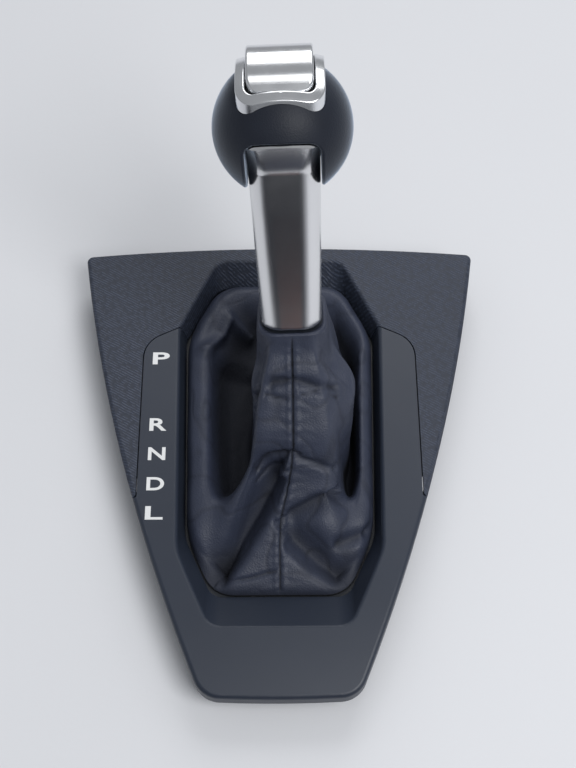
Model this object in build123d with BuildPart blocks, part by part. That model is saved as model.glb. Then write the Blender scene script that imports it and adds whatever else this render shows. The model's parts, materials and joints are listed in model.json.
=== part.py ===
"""Gear lever trim: a two-piece console panel, a leather gaiter and a lever whose knob holds a push button.

Millimetres. +X is the right-hand side, +Y the front of the car, +Z up from the feet of the console clips.
"""

import math
import os

from build123d import *

# Panel plan and side profile
panel_length = 222.0
front_width = 190.0
rear_width = 66.6
front_bow = 4.5
rear_bow = 1.0
side_bulge = 7.4
front_corner_radius = 3.0
rear_corner_radius = 12.0
panel_height = 26.0
skirt_depth = 13.0
panel_wall = 2.5
panel_edge_radius = 2.0
rear_drop_length = 61.0
rear_drop_radius = 360.0

# Recess round the gaiter: its upper edge, and the runs of its sloping walls down to the lip
recess_depth = 12.0
recess_front_margin = 8.0
recess_rear_margin = 27.8
recess_front_width = 60.0
recess_rear_width = 60.0
recess_shoulder_width = 95.0
recess_hip_width = 90.0
recess_shoulder_back = 37.4
recess_hip_ahead = 36.0
front_wall_run = 8.6
rear_wall_run = 18.5
side_wall_run = 2.4
shoulder_wall_run = 1.0
hip_wall_run = 10.0
recess_wall = 2.6
recess_corner_radius = 8.0
recess_shoulder_radius = 12.0
recess_hip_radius = 25.0

# Seam between the textured upper panel and the smooth lower bezel
arm_width = 128.2
seam_rise = 8.0
seam_corner_radius = 13.0
seam_end_radius = 1.0
seam_tip_width = 1.8
seam_gap = 0.6

# Joint flange of the bezel, screwed up against the upper panel
flange_reach = 9.0
flange_root = 4.0
flange_thickness = 2.0
flange_gap = 0.2
boss_offset = 5.2
boss_radius = 2.8
boss_clearance = 0.3
boss_back = 13.0
boss_spacing = 26.0
screw_radius = 1.1
screw_clearance = 0.1
screw_head_radius = 4.2
screw_head_height = 1.6
panel_screw_length = 3.0

# Clip towers and their sheet-metal clips
tower_width = 9.0
tower_thickness = 3.0
front_tower_back = 23.0
front_tower_inset = 12.0
side_tower_y = -20.0
side_tower_inset = 7.2
rear_tower_ahead = 14.0
rear_tower_spacing = 44.0
clip_metal = 0.6
clip_width = 7.0
clip_height = 10.0
clip_bow = 1.6
clip_clearance = 0.1

# Gaiter frame, screwed up under the recess
frame_height = 4.6
frame_overlap = 2.2
frame_inset = 5.0
leather = 1.4
leather_gap = 0.15
ear_radius = 5.5
ear_thickness = 2.6
ear_reach = 7.6
ear_spacing = 32.0
side_ear_y = 25.0
frame_boss_radius = 3.2
frame_screw_length = 8.0

# Gaiter
hem_inset = 0.8
gaiter_turns = 40
front_blend = 25.0
rear_blend = 25.0
blend_length = 22.0

# Gaiter sections, hem first: share of the way in to the collar, and of the rise from lip to collar
side_section = [
    (0.0, 0.004), (0.015, 0.075), (0.075, 0.145), (0.17, 0.165), (0.27, 0.13), (0.36, 0.085),
    (0.45, 0.065), (0.52, 0.09), (0.575, 0.19), (0.61, 0.36), (0.645, 0.55), (0.71, 0.70),
    (0.83, 0.80), (0.95, 0.88), (1.0, 1.0),
]
rear_section = [
    (0.0, 0.004), (0.02, 0.045), (0.07, 0.085), (0.15, 0.135), (0.24, 0.20), (0.33, 0.27),
    (0.42, 0.345), (0.50, 0.42), (0.555, 0.505), (0.60, 0.60), (0.67, 0.675), (0.75, 0.745),
    (0.84, 0.835), (0.95, 0.905), (1.0, 1.0),
]
front_section = [
    (0.0, 0.004), (0.02, 0.055), (0.08, 0.095), (0.17, 0.11), (0.27, 0.10), (0.37, 0.085),
    (0.47, 0.08), (0.55, 0.105), (0.62, 0.19), (0.68, 0.34), (0.74, 0.52), (0.81, 0.68),
    (0.89, 0.79), (0.96, 0.88), (1.0, 1.0),
]

# Lever: where the sleeve's foot stands at rest, and how the lever leans
foot_side = 5.6
foot_forward = 37.4
foot_rise = 60.7
lever_lean = 22.2
lever_side_lean = 2.0
lever_length = 87.1

# Stem sleeve
sleeve_foot_width = 25.5
sleeve_foot_depth = 26.4
sleeve_waist_width = 27.5
sleeve_waist_depth = 28.0
sleeve_head_width = 28.0
sleeve_waist_below = 31.0
sleeve_corner_radius = 8.5
sleeve_wall = 2.0
flare_below = 13.0
flare_reach = 13.2
flare_power = 1.55
flare_rings = 7
rim_above = 6.4
rim_arch = 2.2
rim_corner_radius = 6.0
rim_section_radius = 4.5
rim_proud = 0.15

# Lever core and its socket
core_clearance = 0.15
core_inset = 1.0
neck_radius = 9.5
neck_length = 10.0
socket_radius = 6.05
socket_length = 45.0
guide_clearance = 0.3
collar_width = 26.0
collar_depth = 27.6
collar_height = 6.0
collar_drop = 1.2
collar_clearance = 0.2
collar_corner_radius = 9.0

# Knob
knob_radius = 27.0
knob_edge_radius = 0.8
knob_gap = 0.3
frame_plate_width = 33.0
frame_plate_length = 37.5
frame_plate_radius = 7.0
frame_plate_bar = 3.7
frame_plate_proud = 0.8
frame_plate_depth = 4.8
frame_plate_crown = 60.0
frame_plate_edge = 0.6
frame_plate_gap = 0.15
housing_inset = 0.8
housing_wall = 2.4
housing_shelf_above = 3.5
tub_width = 23.0
tub_wall = 1.5
tub_corner_radius = 6.0
tub_below = 3.8
tub_floor = 3.8

# Push button
button_gap = 0.4
button_wall = 1.8
button_corner_radius = 4.0
button_edge_radius = 0.9
button_top = 32.0
button_crease_height = 24.6
button_crease_inset = 1.1
button_skirt_bottom = 13.0
button_travel = 6.0
carrier_thickness = 3.0
carrier_clearance = 0.15
carrier_boss_radius = 4.0
carrier_boss_length = 4.5
carrier_inset = 0.5
rod_radius = 2.3
rod_seat = 4.0
rod_seat_clearance = 0.02
rod_stop_gap = 2.0
spring_wire = 0.8
spring_gap = 0.5
spring_turns = 5.0
spring_wire_sides = 6
core_screw_radius = 1.4
core_screw_offset = 6.2
core_screw_head_radius = 2.2
core_screw_head_height = 1.8
core_screw_length = 14.0

# Overshoot of cutting tools past the faces that they cut
past = 5.0

# Places worked out from the sizes above
front_y = panel_length / 2
rear_y = -panel_length / 2
front_corner = (front_width / 2, front_y - front_bow)
rear_corner = (rear_width / 2, rear_y + rear_bow)
skirt_bottom = panel_height - skirt_depth
lip_height = panel_height - recess_depth
recess_front = front_y - recess_front_margin
recess_rear = rear_y + recess_rear_margin
opening_front = recess_front - front_wall_run
opening_rear = recess_rear + rear_wall_run
opening_middle = (opening_front + opening_rear) / 2
shoulder_y = recess_front - recess_shoulder_back
seam_corner_y = shoulder_y - seam_rise
opening_half_width = recess_shoulder_width / 2 - side_wall_run
plate_underside = panel_height - panel_wall
frame_top = lip_height - leather - 2 * leather_gap
frame_bottom = frame_top - frame_height
tower_bottom = clip_metal + clip_clearance
across = front_width
recess_radii = [recess_corner_radius, recess_shoulder_radius, recess_hip_radius, recess_corner_radius]


def mirrored(place):
    """The same place on the other side of the middle."""
    return (-place[0], place[1])


def bow(start, end, sagitta):
    """Centre and radius of the arc that bows out by sagitta to the right of the way from start to end."""
    chord = math.dist(start, end)
    radius = chord**2 / (8 * sagitta) + sagitta / 2
    across_chord = Vector(end[1] - start[1], start[0] - end[0]).normalized()
    centre = (Vector(*start) + Vector(*end)) / 2 - across_chord * (radius - sagitta)
    return centre, radius


def side_half_width(y):
    """Half width of the panel's outline at y, on its bowed side."""
    centre, radius = bow(rear_corner, front_corner, side_bulge)
    return centre.X + math.sqrt(radius**2 - (y - centre.Y) ** 2)


def side_place(half_width):
    """The y at which the panel's bowed side is half_width from the middle."""
    centre, radius = bow(rear_corner, front_corner, side_bulge)
    return centre.Y - math.sqrt(radius**2 - (half_width - centre.X) ** 2)


def trim_outline(height, inset=0.0):
    """Plan outline of the whole panel, drawn in by inset: four wide arcs with rounded corners."""
    front_centre, front_radius = bow(front_corner, mirrored(front_corner), front_bow)
    side_centre, side_radius = bow(rear_corner, front_corner, side_bulge)
    rear_centre, rear_radius = bow(mirrored(rear_corner), rear_corner, rear_bow)
    with BuildSketch(Plane.XY.offset(height)) as outline:
        with Locations((front_centre.X, front_centre.Y)):
            Circle(front_radius - inset)
        with Locations((rear_centre.X, rear_centre.Y)):
            Circle(rear_radius - inset, mode=Mode.INTERSECT)
        for side in (-1, 1):
            with Locations((side * side_centre.X, side_centre.Y)):
                Circle(side_radius - inset, mode=Mode.INTERSECT)
        fillet(outline.vertices().group_by(Axis.Y)[-1], radius=front_corner_radius - inset)
        fillet(outline.vertices().group_by(Axis.Y)[0], radius=rear_corner_radius - inset)
    return outline.sketch


def below_top(drop):
    """Everything under the panel's top surface lowered by drop: flat, then falling away to the rear."""
    level = panel_height - drop
    bend_y = rear_y + rear_drop_length
    end_y = rear_y - past
    radius = rear_drop_radius - drop
    end_z = level - radius + math.sqrt(radius**2 - (bend_y - end_y) ** 2)
    with BuildPart() as slab:
        with BuildSketch(Plane.YZ):
            with BuildLine():
                Line((bend_y, level), (front_y + past, level))
                Line((front_y + past, level), (front_y + past, -past))
                Line((front_y + past, -past), (end_y, -past))
                Line((end_y, -past), (end_y, end_z))
                TangentArc((bend_y, level), (end_y, end_z), tangent=(-1, 0))
            make_face()
        extrude(amount=across, both=True)
    return slab.part


def well_corners(depth_share, grow):
    """Right-hand corners of the recess from front to rear: its upper edge at depth_share 0, its lip at 1."""
    return [
        (recess_front_width / 2 + grow / 2, recess_front - front_wall_run * depth_share + grow),
        (
            recess_shoulder_width / 2 - side_wall_run * depth_share + grow,
            shoulder_y - shoulder_wall_run * depth_share,
        ),
        (
            recess_hip_width / 2 - side_wall_run * depth_share + grow,
            recess_rear + recess_hip_ahead + hip_wall_run * depth_share,
        ),
        (recess_rear_width / 2 + grow / 2, recess_rear + rear_wall_run * depth_share - grow),
    ]


def well_outline(height, depth_share, grow=0.0):
    """Outline of the recess at height."""
    right = well_corners(depth_share, grow)
    left = [mirrored(place) for place in reversed(right)]
    with BuildSketch(Plane.XY.offset(height)) as outline:
        with BuildLine():
            FilletPolyline(*right, *left, radius=recess_radii + recess_radii[::-1], close=True)
        make_face()
    return outline.sketch


def well(grow=0.0):
    """The recess as a solid funnel, open past the panel's top."""
    with BuildPart() as funnel:
        loft([well_outline(lip_height, 1, grow), well_outline(panel_height, 0, grow)], ruled=True)
        extrude(well_outline(panel_height, 0, grow), amount=past)
    return funnel.part


def bezel_region(grow=0.0):
    """Plan of the lower bezel: all behind the seam, with an arm up each side of the recess."""
    tip_y = side_place(arm_width / 2 + seam_tip_width)
    right = [
        (across, rear_y - past),
        (across, tip_y + grow),
        (arm_width / 2 + grow, tip_y + grow),
        (arm_width / 2 + grow, seam_corner_y + grow / 2),
        (recess_shoulder_width / 2, shoulder_y + grow),
    ]
    left = [mirrored(place) for place in reversed(right)]
    right_radii = [seam_end_radius] * 3 + [seam_corner_radius + grow, seam_end_radius]
    with BuildSketch() as region:
        with BuildLine():
            FilletPolyline(*right, *left, radius=right_radii + right_radii[::-1], close=True)
        make_face()
    return region.sketch


def region_prism(grow):
    """The bezel's plan as a tall solid."""
    with BuildPart() as prism:
        extrude(bezel_region(grow), amount=panel_height + past)
    return prism.part


def both_sides(points):
    """The given places and their mirror images across the middle."""
    return [place for point in points for place in (point, mirrored(point))]


# Fastener places in plan
arm_boss_x = arm_width / 2 + boss_offset
panel_screw_places = both_sides(
    [
        (arm_boss_x, seam_corner_y - boss_back),
        (arm_boss_x, seam_corner_y - boss_back - boss_spacing),
        (recess_shoulder_width / 2 + recess_wall + boss_offset, shoulder_y + boss_offset / 3),
    ]
)
front_ear = (ear_spacing / 2, opening_front + ear_reach)
rear_ear = (ear_spacing / 2, opening_rear - ear_reach - recess_wall)
side_ear = (opening_half_width + recess_wall + ear_reach, side_ear_y)
front_tower_y = front_y - front_tower_back
front_towers = both_sides([(side_half_width(front_tower_y) - front_tower_inset, front_tower_y)])
bezel_towers = both_sides(
    [
        (arm_width / 2 - side_tower_inset, side_tower_y),
        (rear_tower_spacing / 2, rear_y + rear_tower_ahead),
    ]
)

# Lever frame: origin at the knob's centre, z up the lever, y to its front, x to its right
lean = math.radians(lever_lean)
side_lean = math.radians(lever_side_lean)


def leaning(forward, sideways):
    """Unit vector up a lever that leans forward, and to the left by sideways, in radians."""
    return Vector(
        -math.sin(sideways),
        math.cos(sideways) * math.sin(forward),
        math.cos(sideways) * math.cos(forward),
    )


lever_axis = leaning(lean, side_lean)
sleeve_foot = Vector(foot_side, foot_forward, panel_height + foot_rise)
knob_centre = sleeve_foot + lever_axis * lever_length
lever_right = (Vector(1, 0, 0) - lever_axis * lever_axis.X).normalized()
lever_plane = Plane(origin=knob_centre, x_dir=lever_right, z_dir=lever_axis)
lever_side_plane = Plane(origin=knob_centre, x_dir=lever_plane.y_dir, z_dir=lever_right)
lever_rear_plane = Plane(origin=knob_centre, x_dir=lever_right, z_dir=-lever_plane.y_dir)

sleeve_foot_z = -lever_length
neck_bottom_z = sleeve_foot_z - neck_length
socket_top_z = neck_bottom_z + socket_length
tub_bottom_z = -tub_below
tub_floor_z = tub_bottom_z + tub_floor
core_top_z = tub_bottom_z - core_clearance
guide_radius = rod_radius + guide_clearance
collar_top_z = sleeve_foot_z - collar_drop
gaiter_top_half = (
    collar_width / 2 + collar_clearance + leather,
    collar_depth / 2 + collar_clearance + leather,
)

os.makedirs("parts", exist_ok=True)


# Panel shell before it is split at the seam
top_surface = below_top(0.0)
under_plate = below_top(panel_wall)
under_flange_gap = below_top(panel_wall + flange_gap)
under_flange = below_top(panel_wall + flange_gap + flange_thickness)
well_tool = well()

with BuildPart() as shell_void:
    extrude(trim_outline(0, panel_wall), amount=panel_height)
    add(under_plate, mode=Mode.INTERSECT)
    add(well(recess_wall), mode=Mode.SUBTRACT)

with BuildPart() as trim_shell:
    extrude(trim_outline(skirt_bottom), amount=skirt_depth)
    add(top_surface, mode=Mode.INTERSECT)
    add(well_tool, mode=Mode.SUBTRACT)
    upper_edges = trim_shell.edges().filter_by(lambda e: e.bounding_box().min.Z > lip_height + past)
    bend_y = rear_y + rear_drop_length
    outer_edges = upper_edges.filter_by(lambda e: abs(e.center().Y - bend_y) > past / 2)
    fillet(outer_edges, radius=panel_edge_radius)
    add(shell_void.part, mode=Mode.SUBTRACT)

# Textured upper panel: both wings and the front wall of the recess
with BuildPart() as upper_panel:
    add(trim_shell.part)
    add(region_prism(seam_gap / 2), mode=Mode.SUBTRACT)
    boss_end = plate_underside - flange_gap - flange_thickness + screw_clearance
    with BuildSketch(Plane.XY.offset(boss_end)):
        with Locations(*panel_screw_places):
            Circle(boss_radius)
    extrude(amount=plate_underside - boss_end + panel_wall / 2)
    frame_boss_end = frame_bottom + ear_thickness
    with BuildSketch(Plane.XY.offset(frame_boss_end)):
        with Locations(*both_sides([front_ear])):
            Circle(frame_boss_radius)
    extrude(amount=plate_underside - frame_boss_end)
    with BuildSketch(Plane.XY.offset(tower_bottom)):
        with Locations(*front_towers):
            Rectangle(tower_width, tower_thickness)
    extrude(amount=plate_underside - tower_bottom + panel_wall / 2)
    add(well_tool, mode=Mode.SUBTRACT)
    with BuildSketch(Plane.XY.offset(boss_end)):
        with Locations(*panel_screw_places):
            Circle(screw_radius + screw_clearance)
    extrude(amount=panel_screw_length, mode=Mode.SUBTRACT)
    with BuildSketch(Plane.XY.offset(frame_boss_end)):
        with Locations(*both_sides([front_ear])):
            Circle(screw_radius + screw_clearance)
    extrude(amount=frame_screw_length, mode=Mode.SUBTRACT)

upper_panel.part.label = "upper_panel"
export_step(upper_panel.part, "parts/upper_panel.step")

# Flange that reaches from the bezel under the upper panel along the seam
with BuildPart() as joint_flange:
    extrude(bezel_region(flange_reach), amount=panel_height)
    extrude(bezel_region(-flange_root), amount=panel_height, mode=Mode.SUBTRACT)
    add(under_flange_gap, mode=Mode.INTERSECT)
    add(under_flange, mode=Mode.SUBTRACT)
    with BuildSketch() as flange_bay:
        with Locations((0, front_y)):
            Rectangle(across, 2 * (front_y - side_tower_y - tower_width))
    extrude(amount=panel_height, mode=Mode.INTERSECT)
    extrude(trim_outline(0, panel_wall + boss_clearance), amount=panel_height, mode=Mode.INTERSECT)
    add(well(recess_wall + boss_clearance), mode=Mode.SUBTRACT)
    with BuildSketch():
        with Locations(*panel_screw_places):
            Circle(boss_radius + boss_clearance)
    extrude(amount=panel_height, mode=Mode.SUBTRACT)

# Root of the flange, where it meets the underside of the bezel
with BuildPart() as flange_root_strip:
    extrude(bezel_region(-seam_gap / 2), amount=panel_height)
    extrude(bezel_region(-flange_root), amount=panel_height, mode=Mode.SUBTRACT)
    add(below_top(panel_wall / 2), mode=Mode.INTERSECT)
    add(under_flange, mode=Mode.SUBTRACT)
    extrude(flange_bay.sketch, amount=panel_height, mode=Mode.INTERSECT)
    extrude(trim_outline(0, panel_wall + boss_clearance), amount=panel_height, mode=Mode.INTERSECT)

# Smooth lower bezel with its two arms
with BuildPart() as lower_bezel:
    add(trim_shell.part)
    add(region_prism(-seam_gap / 2), mode=Mode.INTERSECT)
    add(flange_root_strip.part)
    add(joint_flange.part)
    with BuildSketch(Plane.XY.offset(frame_boss_end)):
        with Locations(*both_sides([rear_ear, side_ear])):
            Circle(frame_boss_radius)
    extrude(amount=plate_underside - frame_boss_end + panel_wall / 2)
    with BuildSketch(Plane.XY.offset(tower_bottom)):
        with Locations(*bezel_towers):
            Rectangle(tower_width, tower_thickness)
    extrude(amount=plate_underside - tower_bottom + panel_wall / 2)
    add(well_tool, mode=Mode.SUBTRACT)
    add(top_surface, mode=Mode.INTERSECT)
    with BuildSketch(Plane.XY.offset(frame_boss_end)):
        with Locations(*both_sides([rear_ear, side_ear])):
            Circle(screw_radius + screw_clearance)
    extrude(amount=frame_screw_length, mode=Mode.SUBTRACT)

lower_bezel.part.label = "lower_bezel"
export_step(lower_bezel.part, "parts/lower_bezel.step")


# Washer-head screws that draw the flange up against the upper panel's bosses
with BuildPart() as panel_screws:
    flange_underside = plate_underside - flange_gap - flange_thickness
    with BuildSketch(Plane.XY.offset(flange_underside)):
        with Locations(*panel_screw_places):
            Circle(screw_head_radius)
    extrude(amount=-screw_head_height)
    chamfer(panel_screws.edges().group_by(Axis.Z)[0], length=screw_head_height / 3)
    with BuildSketch(Plane.XY.offset(flange_underside)):
        with Locations(*panel_screw_places):
            Circle(screw_radius)
    extrude(amount=panel_screw_length)

panel_screws.part.label = "panel_screws"
export_step(panel_screws.part, "parts/panel_screws.step")

# Ring that carries the gaiter's hem, with an ear at each screw
ears = both_sides([front_ear, rear_ear, side_ear])
with BuildPart() as gaiter_frame:
    extrude(well_outline(frame_bottom, 1, frame_overlap), amount=frame_height)
    for x, y in ears:
        inward = (Vector(0, opening_middle) - Vector(x, y)) if abs(x) < opening_half_width else Vector(-x, 0)
        with BuildSketch(Plane.XY.offset(frame_bottom)):
            with Locations((x, y)):
                Circle(ear_radius)
            with BuildLine():
                Line((x, y), Vector(x, y) + inward.normalized() * (ear_reach + frame_inset))
            trace(line_width=2 * ear_radius)
        extrude(amount=ear_thickness)
    extrude(well_outline(frame_bottom, 1, -frame_inset), amount=frame_height, mode=Mode.SUBTRACT)
    with BuildSketch(Plane.XY.offset(frame_bottom)):
        with Locations(*ears):
            Circle(screw_radius + boss_clearance)
    extrude(amount=ear_thickness, mode=Mode.SUBTRACT)

gaiter_frame.part.label = "gaiter_frame"
export_step(gaiter_frame.part, "parts/gaiter_frame.step")

# Screws that hold the gaiter frame up under the recess
with BuildPart() as frame_screws:
    with BuildSketch(Plane.XY.offset(frame_bottom)):
        with Locations(*ears):
            Circle(screw_head_radius)
    extrude(amount=-screw_head_height)
    chamfer(frame_screws.edges().group_by(Axis.Z)[0], length=screw_head_height / 3)
    with BuildSketch(Plane.XY.offset(frame_bottom)):
        with Locations(*ears):
            Circle(screw_radius)
    extrude(amount=ear_thickness + frame_screw_length)

frame_screws.part.label = "frame_screws"
export_step(frame_screws.part, "parts/frame_screws.step")

# Bowed sheet-metal clips pushed over the towers from below
with BuildPart() as console_clips:
    leg_offset = tower_thickness / 2 + clip_clearance + clip_metal / 2
    for x, y in front_towers + bezel_towers:
        with BuildSketch(Plane(origin=(x, y, 0), x_dir=(0, 1, 0), z_dir=(1, 0, 0))):
            with BuildLine():
                SagittaArc((-leg_offset, clip_height), (-leg_offset, clip_metal / 2), -clip_bow)
                Line((-leg_offset, clip_metal / 2), (leg_offset, clip_metal / 2))
                SagittaArc((leg_offset, clip_metal / 2), (leg_offset, clip_height), -clip_bow)
            trace(line_width=clip_metal)
        extrude(amount=clip_width / 2, both=True)

console_clips.part.label = "console_clips"
export_step(console_clips.part, "parts/console_clips.step")


# Gaiter: one leather sheet from the hem under the lip, over a roll, up to the collar
hem_bottom = frame_top + leather_gap
gaiter_top = knob_centre + lever_axis * collar_top_z
gaiter_rise = gaiter_top.Z - lip_height


def between(first, last, share):
    """The value at share of the way from first to last."""
    return first + (last - first) * share


def soft_step(value):
    """Smooth step from 0 to 1."""
    held = min(1.0, max(0.0, value))
    return held**2 * (3 - 2 * held)


def half_loops(plane, right, radii):
    """Right and left halves of an outline, each from its rear middle to its front middle."""
    halves = []
    for corners in (right, [mirrored(corner) for corner in right]):
        with BuildLine(plane) as half:
            FilletPolyline((0, right[0][1]), *corners, (0, right[-1][1]), radius=radii)
        halves.append(half.wires()[0])
    return halves


def round_loop(halves, turn):
    """Place on an outline: turn goes once round it from the rear middle, by the right-hand side."""
    right, left = halves
    return right @ (2 * turn) if turn <= 0.5 else left @ (2 - 2 * turn)


hem_plane = Plane.XY.offset(hem_bottom)
hem_loop = half_loops(hem_plane, well_corners(1, -hem_inset)[::-1], recess_radii[::-1])
flange_loop = half_loops(hem_plane, well_corners(1, frame_overlap)[::-1], recess_radii[::-1])
collar_loop = half_loops(
    lever_plane.offset(collar_top_z),
    [(gaiter_top_half[0], -gaiter_top_half[1]), gaiter_top_half],
    [collar_corner_radius + leather] * 2,
)


def gaiter_point(turn, ring):
    """Place on the outer face: turn goes once round from the rear middle, rings count from the hem."""
    hem = round_loop(hem_loop, turn)
    crown = round_loop(collar_loop, turn)
    rear = soft_step((opening_rear + rear_blend - hem.Y) / blend_length)
    front = soft_step((hem.Y - opening_front + front_blend) / blend_length)
    shares = (rear, front, 1 - rear - front)
    sections = (rear_section[ring], front_section[ring], side_section[ring])
    inward = sum(share * section[0] for share, section in zip(shares, sections))
    height = sum(share * section[1] for share, section in zip(shares, sections))
    place = between(hem, crown, inward)
    lean_rise = (crown.Z - gaiter_top.Z) * inward**2
    return Vector(place.X, place.Y, lip_height + gaiter_rise * height + lean_rise)


turns = [turn / gaiter_turns for turn in range(gaiter_turns)]
outer_rings = [[gaiter_point(turn, ring) for turn in turns] for ring in range(len(side_section))]
inner_rings = []
for ring, places in enumerate(outer_rings):
    lower = outer_rings[max(ring - 1, 0)]
    upper = outer_rings[min(ring + 1, len(outer_rings) - 1)]
    inner = []
    for turn, place in enumerate(places):
        around = places[(turn + 1) % gaiter_turns] - places[turn - 1]
        outward = around.cross(upper[turn] - lower[turn])
        if ring == len(outer_rings) - 1:
            outward -= lever_axis * outward.dot(lever_axis)
        inner.append(place - outward.normalized() * leather)
    inner_rings.append(inner)

# Rings once round the leather's section: hem flange, outer face up, inner face down
hem_low = [round_loop(hem_loop, turn) for turn in turns]
flange_low = [round_loop(flange_loop, turn) for turn in turns]
flange_high = [place + Vector(0, 0, leather) for place in flange_low]
hem_high = [place + Vector(0, 0, leather) for place in hem_low]
hem_inner = [Vector(place.X, place.Y, hem_bottom) for place in inner_rings[0]]
section_rings = [flange_low, flange_high, hem_high] + outer_rings + inner_rings[::-1] + [hem_inner]


def facet(*corners):
    """One flat facet of the leather."""
    return Face(Wire.make_polygon(corners, close=True))


with BuildPart() as gaiter:
    facets = []
    for ring, places in enumerate(section_rings):
        following = section_rings[(ring + 1) % len(section_rings)]
        for turn, place in enumerate(places):
            beside = (turn + 1) % gaiter_turns
            facets.append(facet(place, places[beside], following[beside]))
            facets.append(facet(place, following[beside], following[turn]))
    add(Solid(Shell(facets)))

gaiter.part.label = "gaiter"
export_step(gaiter.part, "parts/gaiter.step")


# Stem sleeve sections
def sleeve_size(z):
    """Width, front reach and rear reach of the sleeve's outer face at height z on the lever."""
    waist_z = -sleeve_waist_below
    share = (z - sleeve_foot_z) / (waist_z - sleeve_foot_z)
    width = between(sleeve_foot_width, sleeve_waist_width, share)
    reach = between(sleeve_foot_depth, sleeve_waist_depth, share) / 2
    flare = 0.0
    if z > waist_z:
        head_share = min(1.0, (z - waist_z) / (sleeve_waist_below - flare_below))
        width = between(sleeve_waist_width, sleeve_head_width, head_share)
        reach = sleeve_waist_depth / 2
    if z > -flare_below:
        flare = flare_reach * ((z + flare_below) / (rim_above + flare_below)) ** flare_power
    return width, reach, reach + flare


def sleeve_section(z, inset):
    """One section of the sleeve, square with the lever, drawn in by inset."""
    width, front_reach, rear_reach = sleeve_size(z)
    flare_share = max(0.0, (z + flare_below) / (rim_above + flare_below))
    corner_radius = between(sleeve_corner_radius, rim_section_radius, flare_share)
    with BuildSketch(lever_plane.offset(z)) as section:
        with Locations((0, (front_reach - rear_reach) / 2)):
            RectangleRounded(
                width - 2 * inset,
                front_reach + rear_reach - 2 * inset,
                corner_radius - inset,
            )
    return section.sketch


def sleeve_body(inset, overshoot):
    """The sleeve as a solid: a straight taper, then the head with its scooped rear flare."""
    rim_z = rim_above + overshoot
    straight_z = [sleeve_foot_z - overshoot, -sleeve_waist_below, -flare_below]
    flare_z = [between(-flare_below, rim_z, ring / (flare_rings - 1)) for ring in range(flare_rings)]
    with BuildPart() as body:
        loft([sleeve_section(z, inset) for z in straight_z], ruled=True)
        loft([sleeve_section(z, inset) for z in flare_z])
    return body.part


def window_face(forward, grow):
    """Upright outline of the sleeve's head seen from the rear, arched over the top."""
    half = sleeve_head_width / 2 + grow
    top = rim_above + grow
    bottom = sleeve_foot_z - past
    with BuildSketch(lever_rear_plane.offset(-forward)) as face:
        with BuildLine():
            ThreePointArc((-half, top - rim_arch), (0, top), (half, top - rim_arch))
            Polyline((half, top - rim_arch), (half, bottom), (-half, bottom), (-half, top - rim_arch))
        make_face()
        fillet(face.vertices().group_by(Axis.Y)[-1], radius=rim_corner_radius)
    return face.sketch


housing_width = frame_plate_width - 2 * housing_inset
housing_length = frame_plate_length - 2 * housing_inset
housing_radius = frame_plate_radius - housing_inset
sleeve_outside = sleeve_body(0.0, 0.0)
sleeve_inside = sleeve_body(sleeve_wall, past)

# Space round the ball, which the sleeve's flare ends at
with BuildPart() as beyond_ball:
    with BuildSketch(lever_plane.offset(-flare_below)):
        Rectangle(4 * knob_radius, 4 * knob_radius)
    extrude(amount=2 * knob_radius)
    with Locations(lever_plane):
        Sphere(knob_radius + rim_proud, mode=Mode.SUBTRACT)

with BuildPart() as stem_sleeve:
    add(sleeve_outside)
    add(beyond_ball.part, mode=Mode.SUBTRACT)
    add(sleeve_inside, mode=Mode.SUBTRACT)
    with BuildSketch(lever_plane.offset(housing_shelf_above - knob_gap)):
        with Locations((0, knob_radius - housing_length / 2 - knob_gap)):
            Rectangle(2 * knob_radius, 2 * knob_radius)
    extrude(amount=knob_radius, mode=Mode.SUBTRACT)
    extrude(window_face(knob_radius, knob_gap / 2), amount=2 * knob_radius + past, mode=Mode.INTERSECT)

stem_sleeve.part.label = "stem_sleeve"
export_step(stem_sleeve.part, "parts/stem_sleeve.step")

# Moulded core that fills the sleeve: socket for the selector rod below, guide for the push rod above
core_inset_total = sleeve_wall + core_clearance
with BuildPart() as lever_core:
    loft(
        [sleeve_section(z, core_inset_total) for z in (sleeve_foot_z + core_inset, -sleeve_waist_below)],
        ruled=True,
    )
    extrude(sleeve_section(-sleeve_waist_below, core_inset_total), amount=core_top_z + sleeve_waist_below)
    with BuildSketch(lever_plane.offset(neck_bottom_z)):
        Circle(neck_radius)
    extrude(amount=neck_length + core_inset)
    with BuildSketch(lever_plane.offset(neck_bottom_z)):
        Circle(socket_radius)
    extrude(amount=socket_length, mode=Mode.SUBTRACT)
    with BuildSketch(lever_plane.offset(socket_top_z)):
        Circle(guide_radius)
    extrude(amount=core_top_z - socket_top_z, mode=Mode.SUBTRACT)
    with BuildSketch(lever_plane.offset(core_top_z)):
        with Locations((core_screw_offset, core_screw_offset), (-core_screw_offset, -core_screw_offset)):
            Circle(core_screw_radius + screw_clearance)
    extrude(amount=-core_screw_length, mode=Mode.SUBTRACT)

lever_core.part.label = "lever_core"
export_step(lever_core.part, "parts/lever_core.step")

# Ring on the neck that the gaiter's top is drawn over
with BuildPart() as gaiter_collar:
    with BuildSketch(lever_plane.offset(collar_top_z)):
        RectangleRounded(collar_width, collar_depth, collar_corner_radius)
        Circle(neck_radius + collar_clearance, mode=Mode.SUBTRACT)
    extrude(amount=-collar_height)

gaiter_collar.part.label = "gaiter_collar"
export_step(gaiter_collar.part, "parts/gaiter_collar.step")



def barrel(radius):
    """A barrel lying across the lever at the knob: round fore and aft, nearly straight across."""
    end_radius = radius - knob_radius**2 / (2 * frame_plate_crown)
    with BuildPart() as body:
        with BuildSketch(lever_rear_plane):
            with BuildLine():
                ThreePointArc((-knob_radius, end_radius), (0, radius), (knob_radius, end_radius))
                Line((knob_radius, end_radius), (knob_radius, 0))
                Line((knob_radius, 0), (-knob_radius, 0))
                Line((-knob_radius, 0), (-knob_radius, end_radius))
            make_face()
        revolve(axis=Axis(knob_centre, lever_right))
    return body.part


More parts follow.
